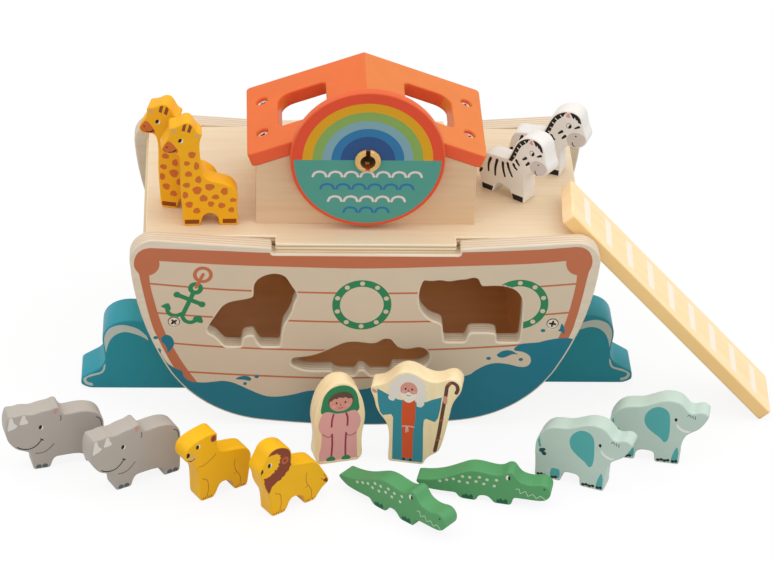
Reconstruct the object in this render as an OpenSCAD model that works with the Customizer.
// Wooden ark play set: a ply hull with animal cut-outs, a lift-off deck with a cabin, a turning
// weather disc, wave blocks, a leaning ramp, paired animals and two people.
// The origin is on the table under the middle of the hull: +X right, +Y to the rear, +Z up.
// All sizes are in millimetres and all angles in degrees.

/* [Hull] */
// Depth of the hull over its two side panels
hull_depth = 166; // [150:1:190]
// Thickness of a side panel
panel_t = 12; // [9:0.5:15]
// Radius of the gentle rocker along the bottom
rocker_r = 560; // [500:10:620]
// Radius of the bilge between bottom and side
bilge_r = 84; // [78:1:90]
// Radius of the flared side
side_r = 210; // [195:1:225]
// Radius of the raised crest at each end of the top edge
crest_r = 16; // [12:0.5:20]
// Depth of the lid's seat below the top of the crests
seat_drop = 10.3; // [8:0.1:13]
// Half the width of the notch for the lid's tab
notch_half = 62.4; // [50:0.1:75]
// Slope of the end boards from upright
end_tilt = 16.4; // [14:0.1:18]
// Thickness of an end board
end_t = 11.5; // [9:0.5:14]
// Bevel on each end board's outer top edge, which clears the ramp
end_bevel = 4.2; // [4:0.1:5]
// Distance of an end board's top edge inside the widest part of the hull
end_inset = 7.2; // [6:0.1:12]
// Height of the floor's top face above the table
floor_z = 32; // [28:0.5:38]
// Thickness of the floor board
floor_t = 8; // [5:0.5:10]
// Distance of the floor's ends inside the bilge
floor_inset = 3; // [2:0.5:6]
// Clearance round an animal in its cut-out
cut_gap = 1.6; // [1:0.1:3]

/* [Deck lid] */
// Thickness of the deck lid
lid_t = 6.5; // [5:0.5:9]
// Distance of the lid's ends inside the end boards' top edges
lid_inset = 3.3; // [2:0.1:8]
// Gap between the lid and each side panel
lid_gap = 0.5; // [0.3:0.1:1.5]
// Gap between a tab and each side of its notch
tab_gap = 2.4; // [1:0.1:4]
// Distance of a tab's end behind the face of the side panel
tab_back = 2.7; // [0:0.1:6]

/* [Cabin] */
// Width over the cabin's side walls
cabin_w = 145.6; // [130:0.2:160]
// Depth of the cabin over its walls
cabin_d = 86.5; // [75:0.5:95]
// Distance of the cabin's front face behind the hull's front face
cabin_back = 28; // [24:0.5:36]
// Height of the side walls at their outer faces
cabin_h = 44.8; // [36:0.1:54]
// Thickness of the cabin walls
wall_t = 12; // [10:0.5:14]
// Slope of the roof boards
roof_pitch = 20.4; // [15:0.1:25]
// Thickness of the roof boards
roof_t = 10; // [8:0.5:12]
// Reach of the eaves past the side walls, on the roof's top face
eave_over = 6.6; // [4:0.1:12]
// Reach of the roof past the front wall and the open back
gable_over = 0.6; // [0:0.1:3]
// Width of a hand-hole along the slope
hand_hole_w = 34; // [26:0.5:38]
// Length of a hand-hole from front to rear
hand_hole_l = 40; // [30:0.5:50]

/* [Weather disc] */
// Radius of the disc
disc_r = 51; // [44:0.5:53]
// Thickness of the disc
disc_t = 6.4; // [5:0.1:9]
// Height of the disc's centre above the deck
disc_rise = 54.6; // [54:0.1:62]
// Diameter of the peg's barrel
peg_d = 14; // [11:0.5:16]
// Running clearance between barrel and disc, on the radius
peg_gap = 0.05; // [0.02:0.01:0.1]
// Thickness of the washer behind the disc
washer_t = 2; // [1:0.1:4]

/* [Wave blocks] */
// Thickness of a wave block
wave_t = 28; // [20:0.5:36]
// Front face of the left block, from the middle of the hull
left_wave_y = -40; // [-60:1:20]
// Front face of the right block, from the middle of the hull
right_wave_y = -31; // [-60:1:20]

// Diameter of the dowels that hold the wave blocks
dowel_d = 8; // [6:0.5:10]
// Length of a dowel
dowel_l = 30; // [22:1:36]
// Depth of a dowel in the end board
dowel_in = 8; // [6:0.5:9]

/* [Ramp] */
// Length of the ramp plank
ramp_l = 213.5; // [185:0.5:245]
// Width of the ramp plank
ramp_w = 45; // [34:0.5:50]
// Thickness of the ramp plank
ramp_t = 10; // [7:0.5:12]
// Length of the ramp that reaches over the lid's edge
ramp_over = 23; // [16:0.5:26]
// Upright depth of the notch that hooks over the lid's edge
ramp_hook = 6.6; // [4:0.1:8]
// Turn of the ramp about the upright
ramp_yaw = -3.3; // [-6:0.1:0]

/* [Figures] */
// Thickness of an animal
animal_t = 13.5; // [10:0.5:16]
// Thickness of a person
person_t = 14; // [10:0.5:18]

/* [Screws] */
// Diameter of a screw head
head_d = 8; // [6:0.1:9]
// Diameter of a screw's shank
shank_d = 3.6; // [3:0.1:4.5]
// Length of the hull screws
hull_screw_l = 36; // [28:1:45]
// Length of the roof screws
roof_screw_l = 16; // [14:0.5:17]
// Length of the screws up through the lid
cabin_screw_l = 26; // [20:1:32]

/* [Hidden] */
$fn = 64;

// Paint and wood colours
ply = "burlywood";
bare_wood = "wheat";
roof_paint = "coral";
wave_paint = "teal";
steel = "silver";

// Headings along the hull's outline, anticlockwise from the bottom centre
rocker_turn = 7;
bilge_end = 62;
side_end = 86;
crest_end = 184;

// Joints of the hull's arcs and the heights that follow from them
rocker_tip = rocker_r * [sin(rocker_turn), 1 - cos(rocker_turn)];
bilge_centre = rocker_tip + bilge_r * [-sin(rocker_turn), cos(rocker_turn)];
bilge_tip = bilge_centre + bilge_r * [sin(bilge_end), -cos(bilge_end)];
side_centre = bilge_tip + side_r * [-sin(bilge_end), cos(bilge_end)];
side_tip = side_centre + side_r * [sin(side_end), -cos(side_end)];
crest_centre = side_tip + crest_r * [-sin(side_end), cos(side_end)];
crest_tip = crest_centre + crest_r * [sin(crest_end), -cos(crest_end)];
seat_z = crest_centre[1] + crest_r - seat_drop;
sheer_z = crest_tip[1] - (crest_tip[0] - notch_half) * tan(crest_end - 180);
notch_corner_r = 1.5;

// Side panels, end boards and floor
face_y = hull_depth / 2;
hold_y = face_y - panel_t;
end_top_x = side_tip[0] - end_inset;
end_run = end_t / cos(end_tilt);
floor_under = bilge_centre[1] - floor_z + floor_t;
floor_half = bilge_centre[0] + sqrt(pow(bilge_r, 2) - pow(floor_under, 2)) - floor_inset;

// Lid
lid_top = seat_z + lid_t;
lid_half = end_top_x - lid_inset;
lid_corner_r = 3;
tab_half = notch_half - tab_gap;

// Cabin and roof; the roof's top and underside meet the upright through the ridge at these heights
cabin_half = cabin_w / 2;
cabin_front = cabin_back - face_y;
cabin_rear = cabin_front + cabin_d;
wall_top = lid_top + cabin_h;
ridge_under = wall_top + cabin_half * tan(roof_pitch);
ridge_top = ridge_under + roof_t / cos(roof_pitch);
roof_l = (cabin_half + eave_over) / cos(roof_pitch);
roof_front = cabin_front - gable_over;
roof_rear = cabin_rear + gable_over;
roof_corner_r = 3;
hand_hole_eave = 22.3;
hand_hole_rear = 23;
hand_hole_r = 4;
hand_hole_grip_r = 9;
roof_screw_inset = 3.6;
roof_screw_u = (cabin_half - roof_screw_inset) / cos(roof_pitch);
roof_screw_recess = 2.5;
roof_screw_front = 24;
roof_screw_rear = 23;

// Disc, peg and washer, all on one axis
disc_z = lid_top + disc_rise;
disc_back = cabin_front - washer_t;
disc_front = disc_back - disc_t;
peg_bore = 10;
peg_slot = 3;
peg_lip = 1.5;
peg_lip_t = 2.4;
peg_lip_gap = 0.3;
peg_flange_t = 3;
peg_flange = 4;
washer_rim = 5;

// Wave block outline as distances from the end board's foot and heights, hull side left open
wave_top_z = 53.5;
wave_points = [[72, 0], [78, 0], [83.5, 3], [83.2, 9], [76, 13.5], [70, 17], [66.5, 23], [67.5, 32],
    [68.8, 42], [66, 49.5], [59.5, 54.8], [50, 57], [38, 55.5], [26, 54]];

// Ramp: hooks over the lid's edge with a hair of clearance
ramp_run = ramp_l - ramp_over;
ramp_pitch = asin((lid_top - ramp_hook) / ramp_run);
ramp_foot = ramp_run * cos(ramp_pitch);
ramp_seat_gap = 0.2;
ramp_corner_r = 3;
ramp_side = 6.5;
notch_reach = 25;

// Screws
screw_gap = 0.08;
head_h = 2.6;
head_rim = 0.4;
tip_l = 5;
hull_screw_z = 84.5;

// Dowels
dowel_gap = 0.08;
dowel_bevel = 1;
dowel_z = 42;
dowel_pitch = 14;

// A corner that turns more than this keeps a small round; a gentler one is blended from edge to edge
sharp_turn = 50;
sharp_reach = 1.8;
blend_steps = 3;

// Animal outlines: [along, up] from the foot of the leftmost leg, anticlockwise
rhino_points = [[0, 0], [11.5, 0], [12.5, 4], [14.5, 7.5], [18, 8], [32, 8], [35.5, 5], [35.5, 0], [47.5, 0],
    [48.2, 5], [48.5, 28], [48, 33], [45, 38], [40, 41], [33, 42.2], [25, 41.7], [21.5, 41.5], [19.5, 44],
    [18, 48], [15.5, 48.5], [12, 46.8], [7, 46.8], [0, 44.8], [-6, 46.5], [-11, 45.3], [-16, 46],
    [-18, 40], [-18.2, 32], [-17, 26], [-14.5, 22], [-11, 18], [-6, 16], [-2, 14], [-1, 8]];
lioness_points = [[0, 0], [10, 0], [12, 3], [14, 8], [17, 10.2], [22, 9], [25, 6], [26, 0], [36, 0],
    [37.3, 8], [38, 15], [39, 22], [38.5, 26], [36, 30], [32, 32], [25, 33.3], [18, 34.5], [14, 36.5],
    [12.4, 40], [12.3, 46], [12.5, 51], [9, 52.8], [2, 51.5], [-5, 49.8], [-10, 47], [-12, 44],
    [-12.5, 40], [-11.5, 36], [-8, 34], [-5, 30], [-2, 24], [-1.2, 15], [-1, 4]];
lion_points = [[0, 0], [10.5, 0], [12.5, 3], [14.5, 8], [17.5, 9.5], [22, 8.5], [25.5, 6], [26, 0], [34.5, 0],
    [37, 3], [41, 8], [45, 9.8], [46, 12], [43, 18], [40, 23], [36.5, 29.5], [32, 32.5], [25, 34],
    [18, 35.5], [15, 38], [15.3, 46], [13.5, 50.5], [9.5, 53.5], [5, 55], [0.5, 55], [-3.5, 53],
    [-6.5, 47], [-10.8, 40.5], [-10, 37], [-8, 33], [-7.5, 28], [-4.5, 21], [-2, 17], [-0.7, 10]];
crocodile_points = [[-37.3, 8.2], [-32, 5], [-26, 3.7], [-10.5, 4], [-9, 2], [-7, 0], [3.5, 0], [5, 4],
    [8, 4.8], [11, 4.6], [13.5, 2.5], [15.5, 0], [27, 0], [28.5, 6.2], [38, 6.3], [45, 6.2], [50, 7.2],
    [53, 11], [53, 16], [50, 19.5], [46, 20.2], [42, 18.8], [37, 18.5], [32, 20], [29.5, 23],
    [27, 26.7], [23.5, 27], [20, 23.8], [16, 22.8], [10, 23.5], [3, 24.5], [-3, 23.6], [-9, 20.3],
    [-15, 16.8], [-21, 14], [-28, 12], [-36.8, 11]];
elephant_points = [[-16.5, 0], [1.5, 0], [2, 6], [4.5, 8.3], [9, 8.6], [13.5, 8], [14.8, 5], [15, 0],
    [31.8, 0], [31.8, 10], [32.5, 18], [34.5, 24], [38, 27], [42, 29.5], [45.5, 33.5], [49.5, 42], [46, 45],
    [42.5, 44.8], [39, 43], [35.5, 43.5], [32, 48], [28.5, 50.8], [23, 51.6], [17, 50.7], [10, 47],
    [4, 44], [-3, 43.2], [-8, 42], [-12, 39], [-15.5, 33.5], [-17.3, 28], [-17.5, 20], [-16.6, 10]];
giraffe_points = [[-0.3, 0], [10.5, 0], [11.3, 4], [13, 8], [16.5, 9.8], [20.5, 8.5], [22.8, 5], [23.3, 0],
    [35.3, 0], [35.8, 5], [35, 14], [35.8, 21], [34.5, 27], [30, 31], [25, 32.8], [19, 34.2], [14, 36.8],
    [11.2, 42], [10.4, 52], [9.6, 64], [12, 70.5], [8.5, 71.8], [6, 77], [3.5, 79.8], [-0.5, 79.5],
    [-4, 76.7], [-10, 75.5], [-9.8, 69], [-13.5, 64], [-15.8, 59.5], [-13.5, 56], [-9, 55.8], [-5.5, 56.2],
    [-3, 53], [-2.1, 44], [-2.5, 30], [-1.8, 18], [-0.9, 6]];
zebra_points = [[-0.8, 0], [8.8, 0], [9.8, 5.5], [12.5, 8.6], [16, 9], [20, 8.3], [22.8, 5], [24.2, 0],
    [34, 0], [34, 8], [33.3, 17], [33.8, 21.5], [36.5, 25], [40, 25.6], [44, 24.6], [48.5, 26.8], [51.5, 31],
    [51, 35], [48.8, 38.5], [47.5, 45], [46, 50], [42, 52.6], [37, 53], [32, 51.7], [27, 48], [24, 43],
    [21, 35], [19, 30.2], [13, 29.3], [5, 28.8], [1, 28], [-2, 24.5], [-3, 17], [-4.3, 12], [-2, 9.5],
    [-1.3, 4]];

// People outlines, from the middle of the woman's base and from the man's left foot
woman_half = [[13.5, 0], [16.6, 4], [15.7, 12], [15.5, 20], [16.7, 28], [17.6, 35], [16.8, 43], [14.6, 52],
    [11, 59], [6, 64], [0, 65.6]];
woman_points = concat(woman_half,
    [for (i = [len(woman_half) - 2:-1:0]) [-woman_half[i][0], woman_half[i][1]]]);
man_points = [[-1.5, 0], [22, 0], [24, 5], [27.5, 8.5], [32, 11.5], [34, 17], [36.5, 30], [38.2, 41],
    [39.8, 52], [43, 58], [45.8, 63], [45.5, 68.5], [41.5, 72.6], [37, 72.5], [32, 69.5], [26.5, 68.2],
    [20.5, 70], [15, 73.2], [10, 74.7], [5, 73.8], [0, 70], [-5, 63.8], [-9.5, 61.3], [-14.8, 60.2],
    [-15.3, 56], [-12.5, 50], [-11.3, 43], [-8.5, 37.5], [-4, 32], [-1.8, 25], [-1.4, 16], [-1.8, 6]];

// Places of the figures on the table: along X, in front of the hull's face, turn
rhino_left_place = [-219.8, 52, 15.3];
rhino_right_place = [-164.3, 75.2, 28.7];
lioness_place = [-108.1, 86.9, 31.8];
lion_place = [-61.5, 103.6, 34];
woman_place = [-15.8, 42.7, 13.3];
man_place = [18.9, 41, -10.9];
crocodile_left_place = [10.9, 95, -42];
crocodile_right_place = [70.6, 84.2, -13.2];
elephant_left_place = [130.5, 62.8, -22.4];
elephant_right_place = [182.9, 37.8, -12];

// Places of the figures on the deck: beside the cabin wall, behind the hull's face, turn
giraffe_front_place = [-47.5, 24, 2.6];
giraffe_back_place = [-62.9, 47.6, -12];
zebra_front_place = [8.6, 74.8, -37.8];
zebra_back_place = [31.2, 102.2, -22];

// Places of the cut-outs on the side panels: along X, up, direction that the outline runs
lion_cut = [-57.3, 66.3, -1];
crocodile_cut = [-9.2, 42.8, 1];
rhino_cut = [56.1, 70.7, 1];
elephant_cut = [-88, 66, 1];
giraffe_cut = [-10, 42, 1];
zebra_cut = [49, 66, 1];

function unit(v) = v / norm(v);
function at(list, i) = list[(i + len(list)) % len(list)];
function flat(lists) = [for (l = lists) for (p = l) p];

// Points of one blended corner, on a parabola from the edge before it to the edge after it
function blend(a, b, c) =
    let (
        into = b - a,
        away = c - b,
        turn = acos(max(-1, min(1, unit(into) * unit(away)))),
        sharp = turn > sharp_turn,
        reach_in = sharp ? min(sharp_reach / norm(into), 0.49) : 0.5,
        reach_out = sharp ? min(sharp_reach / norm(away), 0.49) : 0.5,
        p = b - into * reach_in,
        q = b + away * reach_out,
        ts = sharp ? [for (k = [0:blend_steps]) k / blend_steps]
            : [for (k = [1:blend_steps]) (k - 0.5) / blend_steps]
    )
    [for (t = ts) (1 - t) * (1 - t) * p + 2 * t * (1 - t) * b + t * t * q];
function soft(points) = flat([for (i = [0:len(points) - 1])
    blend(at(points, i - 1), points[i], at(points, i + 1))]);

// An outline moved outwards by a distance, edge by edge
function outward(v) = unit([v[1], -v[0]]);
function grown(points, d) = [for (i = [0:len(points) - 1])
    let (
        m = outward(points[i] - at(points, i - 1)),
        n = outward(at(points, i + 1) - points[i])
    )
    points[i] + (m + n) * d / (1 + m * n)];

// Corner points [x, y, radius] turned into an outline with true fillets
function fillet(a, b, c, r) =
    let (
        u = unit(a - b),
        v = unit(c - b),
        half = acos(max(-1, min(1, u * v))) / 2,
        mid = b + unit(u + v) * r / sin(half),
        from = b + u * r / tan(half) - mid,
        to = b + v * r / tan(half) - mid,
        start = atan2(from[1], from[0]),
        swing = atan2(from[0] * to[1] - from[1] * to[0], from * to)
    )
    [for (k = [0:6]) mid + r * [cos(start + swing * k / 6), sin(start + swing * k / 6)]];
function xy(p) = [p[0], p[1]];
function rounded(points) = flat([for (i = [0:len(points) - 1])
    points[i][2] > 0 ? fillet(xy(at(points, i - 1)), xy(points[i]), xy(at(points, i + 1)), points[i][2])
        : [xy(points[i])]]);

// Points along an arc between two headings, without its first point
function sweep(centre, r, from, to, steps) =
    [for (k = [1:steps]) let (h = from + (to - from) * k / steps) centre + r * [sin(h), -cos(h)]];
hull_right = concat(
    sweep([0, rocker_r], rocker_r, 0, rocker_turn, 6),
    sweep(bilge_centre, bilge_r, rocker_turn, bilge_end, 16),
    sweep(side_centre, side_r, bilge_end, side_end, 8),
    sweep(crest_centre, crest_r, side_end, crest_end, 16));
hull_corners = concat(
    [[0, 0, 0]],
    [for (p = hull_right) [p[0], p[1], 0]],
    [[notch_half, sheer_z, notch_corner_r], [notch_half, seat_z, notch_corner_r],
        [-notch_half, seat_z, notch_corner_r], [-notch_half, sheer_z, notch_corner_r]],
    [for (i = [len(hull_right) - 1:-1:0]) [-hull_right[i][0], hull_right[i][1], 0]]);

// Outer and inner faces of the right end board at a height
function end_x(z) = end_top_x - (seat_z - z) * tan(end_tilt);
function end_inner_x(z) = end_x(z) - end_run;

// A screw with its head's face on z = 0, pointing down; room is its hole with clearance
module screw(length) {
    rotate_extrude() polygon([[0, 0], [head_d / 2, 0], [head_d / 2, -head_rim], [shank_d / 2, -head_h],
        [shank_d / 2, tip_l - length], [0, -length]]);
}
module screw_room(length, above) {
    head_r = head_d / 2 + screw_gap;
    shank_r = shank_d / 2 + screw_gap;
    rotate_extrude() polygon([[0, above], [head_r, above], [head_r, -head_rim], [shank_r, -head_h],
        [shank_r, tip_l - length], [0, -length - 2 * screw_gap]]);
}

// Where the screws go
module at_hull_screws() {
    x = (end_x(hull_screw_z) + end_inner_x(hull_screw_z)) / 2;
    for (side = [-1, 1], face = [-1, 1])
        translate([side * x, face * face_y, hull_screw_z]) rotate([-90 * face, 0, 0]) children();
}
module at_cabin_screws() {
    for (side = [-1, 1], y = [cabin_front + 2 * wall_t, cabin_rear - wall_t])
        translate([side * (cabin_half - wall_t / 2), y, seat_z]) rotate([180, 0, 0]) children();
    for (side = [-1, 1])
        translate([side * cabin_half / 2, cabin_front + wall_t / 2, seat_z]) rotate([180, 0, 0]) children();
}
module at_roof_screws() {
    for (side = [0, 1], y = [roof_front + roof_screw_front, roof_rear - roof_screw_rear])
        mirror([side, 0, 0]) on_roof() translate([roof_screw_u, y, -roof_screw_recess]) children();
}

// A dowel across z = 0, most of it below; room is its hole with clearance
module dowel() {
    r = dowel_d / 2;
    low = dowel_in - dowel_l;
    rotate_extrude() polygon([[0, low], [r - dowel_bevel, low], [r, low + dowel_bevel],
        [r, dowel_in - dowel_bevel], [r - dowel_bevel, dowel_in], [0, dowel_in]]);
}
module dowel_room() {
    translate([0, 0, dowel_in - dowel_l - dowel_gap])
        cylinder(r = dowel_d / 2 + dowel_gap, h = dowel_l + 2 * dowel_gap);
}
module at_wave_dowels() {
    for (side = [-1, 1], step = [-0.5, 0.5])
        translate([side * end_x(dowel_z), wave_middle(side) + step * dowel_pitch, dowel_z])
            rotate([0, -side * (90 - end_tilt), 0]) children();
}
function wave_middle(side) = (side < 0 ? left_wave_y : right_wave_y) + wave_t / 2;

// Right roof slope: x runs down the slope from the ridge, z = 0 on its top face
module on_roof() {
    translate([0, 0, ridge_top]) rotate([0, roof_pitch, 0]) children();
}

// An upright board cut to an outline in X and Z, front face on y = 0, reaching t to the rear
module upright(points, t) {
    translate([0, t, 0]) rotate([90, 0, 0]) linear_extrude(t) polygon(points);
}
module figure(points, t) {
    upright(soft(points), t);
}
module on_table(place) {
    translate([place[0], -face_y - place[1], 0]) rotate([0, 0, place[2]]) children();
}
module on_deck(place) {
    side = sign(place[0]);
    translate([side * cabin_half + place[0], -face_y + place[1], lid_top])
        rotate([0, 0, place[2]]) children();
}

// Hull
module cut_out(points, place) {
    translate([place[0], -1, place[1]]) mirror([place[2] < 0 ? 1 : 0, 0, 0])
        upright(soft(grown(points, cut_gap)), panel_t + 2);
}
module front_hull_panel() {
    color(ply) difference() {
        translate([0, -face_y, 0]) difference() {
            upright(rounded(hull_corners), panel_t);
            cut_out(lion_points, lion_cut);
            cut_out(crocodile_points, crocodile_cut);
            cut_out(rhino_points, rhino_cut);
        }
        at_hull_screws() screw_room(hull_screw_l, 1);
    }
}
module rear_hull_panel() {
    color(ply) difference() {
        translate([0, hold_y, 0]) difference() {
            upright(rounded(hull_corners), panel_t);
            cut_out(elephant_points, elephant_cut);
            cut_out(giraffe_points, giraffe_cut);
            cut_out(zebra_points, zebra_cut);
        }
        at_hull_screws() screw_room(hull_screw_l, 1);
    }
}
module end_board(side) {
    color(ply) difference() {
        mirror([side < 0 ? 1 : 0, 0, 0]) translate([0, -hold_y, 0])
            upright([[end_inner_x(floor_z), floor_z], [end_x(floor_z), floor_z],
                [end_x(seat_z - end_bevel), seat_z - end_bevel], [end_top_x - end_bevel, seat_z],
                [end_top_x - end_run, seat_z]], 2 * hold_y);
        at_hull_screws() screw_room(hull_screw_l, 1);
        at_wave_dowels() dowel_room();
    }
}
module left_end_board() { end_board(-1); }
module right_end_board() { end_board(1); }
module floor_board() {
    color(bare_wood) translate([-floor_half, -hold_y, floor_z - floor_t])
        cube([2 * floor_half, 2 * hold_y, floor_t]);
}
module hull_screws() { color(steel) at_hull_screws() screw(hull_screw_l); }

// Wave blocks, cut to lie flat against the end boards
module wave_block(side, y) {
    outline = concat([[end_x(0), 0]], [for (p = wave_points) [end_x(0) + p[0], p[1]]],
        [[end_x(wave_top_z), wave_top_z]]);
    color(wave_paint) difference() {
        mirror([side < 0 ? 1 : 0, 0, 0]) translate([0, y, 0]) upright(soft(outline), wave_t);
        at_wave_dowels() dowel_room();
    }
}
module left_wave_block() { wave_block(-1, left_wave_y); }
module right_wave_block() { wave_block(1, right_wave_y); }
module wave_dowels() { color(bare_wood) at_wave_dowels() dowel(); }

// Lid with a tab in each notch
module deck_lid() {
    lid_y = hold_y - lid_gap;
    tab_y = face_y - tab_back;
    quarter = [[lid_half, lid_y, lid_corner_r], [tab_half, lid_y, 0], [tab_half, tab_y, notch_corner_r]];
    turned = [quarter[2], quarter[1], quarter[0]];
    corners = concat(
        quarter,
        [for (p = turned) [-p[0], p[1], p[2]]],
        [for (p = quarter) [-p[0], -p[1], p[2]]],
        [for (p = turned) [p[0], -p[1], p[2]]]);
    color(bare_wood) difference() {
        translate([0, 0, seat_z]) linear_extrude(lid_t) polygon(rounded(corners));
        at_cabin_screws() screw_room(cabin_screw_l, 1);
    }
}

// Cabin, open at the back
module cabin_front_wall() {
    color(bare_wood) difference() {
        translate([0, cabin_front, 0])
            upright([[-cabin_half, lid_top], [cabin_half, lid_top], [cabin_half, wall_top], [0, ridge_under],
                [-cabin_half, wall_top]], wall_t);
        on_disc_axis(cabin_front - 1) cylinder(d = peg_d + 2 * peg_gap, h = wall_t + 2);
        at_cabin_screws() screw_room(cabin_screw_l, 1);
    }
}
module cabin_side_wall(side) {
    inner_x = cabin_half - wall_t;
    color(bare_wood) difference() {
        mirror([side < 0 ? 1 : 0, 0, 0]) translate([0, cabin_front + wall_t, 0])
            upright([[inner_x, lid_top], [cabin_half, lid_top], [cabin_half, wall_top],
                [inner_x, wall_top + wall_t * tan(roof_pitch)]], cabin_d - wall_t);
        at_cabin_screws() screw_room(cabin_screw_l, 1);
        at_roof_screws() screw_room(roof_screw_l, 1);
    }
}
module cabin_left_wall() { cabin_side_wall(-1); }
module cabin_right_wall() { cabin_side_wall(1); }
module cabin_screws() { color(steel) at_cabin_screws() screw(cabin_screw_l); }

// Roof boards, mitred at the ridge
module roof_board(side) {
    hole_eave = roof_l - hand_hole_eave;
    hole_ridge = hole_eave - hand_hole_w;
    hole_rear = roof_rear - hand_hole_rear;
    hole_front = hole_rear - hand_hole_l;
    color(roof_paint) difference() {
        mirror([side < 0 ? 1 : 0, 0, 0]) intersection() {
            on_roof() translate([0, 0, -roof_t]) linear_extrude(roof_t) difference() {
                polygon(rounded([[-roof_t, roof_front, 0], [roof_l, roof_front, roof_corner_r],
                    [roof_l, roof_rear, roof_corner_r], [-roof_t, roof_rear, 0]]));
                polygon(rounded([[hole_ridge, hole_front, hand_hole_r], [hole_eave, hole_front, hand_hole_r],
                    [hole_eave, hole_rear, hand_hole_grip_r], [hole_ridge, hole_rear, hand_hole_r]]));
            }
            translate([0, roof_front - 1, 0]) cube([roof_l + 1, roof_rear - roof_front + 2, ridge_top + 1]);
        }
        at_roof_screws() screw_room(roof_screw_l, roof_screw_recess + 1);
    }
}
module roof_left_board() { roof_board(-1); }
module roof_right_board() { roof_board(1); }
module roof_screws() { color(steel) at_roof_screws() screw(roof_screw_l); }

// Split peg, washer and disc: the axis runs to the rear from the disc's front face
module on_disc_axis(y) {
    translate([0, y, disc_z]) rotate([-90, 0, 0]) children();
}
module disc_peg() {
    barrel_r = peg_d / 2;
    lip_back = disc_front - peg_lip_gap;
    lip_front = lip_back - peg_lip_t;
    flange_front = cabin_front + wall_t;
    length = flange_front + peg_flange_t - lip_front;
    lip_end = lip_back - lip_front;
    flange_start = flange_front - lip_front;
    color(bare_wood) difference() {
        on_disc_axis(lip_front) rotate_extrude() polygon([[peg_bore / 2, 0], [barrel_r + peg_lip - 1, 0],
            [barrel_r + peg_lip, 1], [barrel_r + peg_lip, lip_end], [barrel_r, lip_end],
            [barrel_r, flange_start], [barrel_r + peg_flange, flange_start], [barrel_r + peg_flange, length],
            [peg_bore / 2, length]]);
        translate([-peg_slot / 2, lip_front - 1, disc_z - barrel_r - peg_lip - 1])
            cube([peg_slot, lip_end + disc_t + 1, peg_d + 2 * peg_lip + 2]);
    }
}
module disc_washer() {
    color(bare_wood) on_disc_axis(disc_back) linear_extrude(washer_t) difference() {
        circle(d = peg_d + 2 * washer_rim);
        circle(d = peg_d + 2 * peg_gap);
    }
}
module weather_disc() {
    color(roof_paint) on_disc_axis(disc_front) linear_extrude(disc_t) difference() {
        circle(r = disc_r);
        circle(d = peg_d + 2 * peg_gap);
    }
}

// Ramp plank from its foot on the table, notched to hook over the lid
module ramp() {
    foot_x = lid_half + ramp_foot * cos(ramp_yaw);
    foot_y = ramp_side - face_y;
    color(bare_wood) difference() {
        translate([foot_x, foot_y, 0])
            rotate([0, 0, ramp_yaw]) rotate([0, ramp_pitch, 0]) translate([-ramp_l, 0, 0])
                linear_extrude(ramp_t) polygon(rounded([[0, 0, ramp_corner_r], [ramp_l, 0, ramp_corner_r],
                    [ramp_l, ramp_w, ramp_corner_r], [0, ramp_w, ramp_corner_r]]));
        translate([lid_half + ramp_seat_gap - notch_reach, foot_y - notch_reach,
            lid_top + ramp_seat_gap - notch_reach])
            cube([notch_reach, ramp_w + 2 * notch_reach, notch_reach]);
    }
}

// Animals
module rhino_left() { color("gray") on_table(rhino_left_place) figure(rhino_points, animal_t); }
module rhino_right() { color("gray") on_table(rhino_right_place) figure(rhino_points, animal_t); }
module lioness() { color("orange") on_table(lioness_place) figure(lioness_points, animal_t); }
module lion() { color("orange") on_table(lion_place) figure(lion_points, animal_t); }
module crocodile_left() {
    color("seagreen") on_table(crocodile_left_place) figure(crocodile_points, animal_t);
}
module crocodile_right() {
    color("seagreen") on_table(crocodile_right_place) figure(crocodile_points, animal_t);
}
module elephant_left() {
    color("lightblue") on_table(elephant_left_place) figure(elephant_points, animal_t);
}
module elephant_right() {
    color("lightblue") on_table(elephant_right_place) figure(elephant_points, animal_t);
}
module giraffe_front() { color("gold") on_deck(giraffe_front_place) figure(giraffe_points, animal_t); }
module giraffe_back() { color("gold") on_deck(giraffe_back_place) figure(giraffe_points, animal_t); }
module zebra_front() { color("white") on_deck(zebra_front_place) figure(zebra_points, animal_t); }
module zebra_back() { color("white") on_deck(zebra_back_place) figure(zebra_points, animal_t); }

// People
module woman() { color(bare_wood) on_table(woman_place) figure(woman_points, person_t); }
module man() { color(bare_wood) on_table(man_place) figure(man_points, person_t); }

front_hull_panel();
rear_hull_panel();
left_end_board();
right_end_board();
floor_board();
hull_screws();
left_wave_block();
right_wave_block();
wave_dowels();
deck_lid();
cabin_front_wall();
cabin_left_wall();
cabin_right_wall();
cabin_screws();
roof_left_board();
roof_right_board();
roof_screws();
disc_peg();
disc_washer();
weather_disc();
ramp();
rhino_left();
rhino_right();
lioness();
lion();
woman();
man();
crocodile_left();
crocodile_right();
elephant_left();
elephant_right();
giraffe_front();
giraffe_back();
zebra_front();
zebra_back();
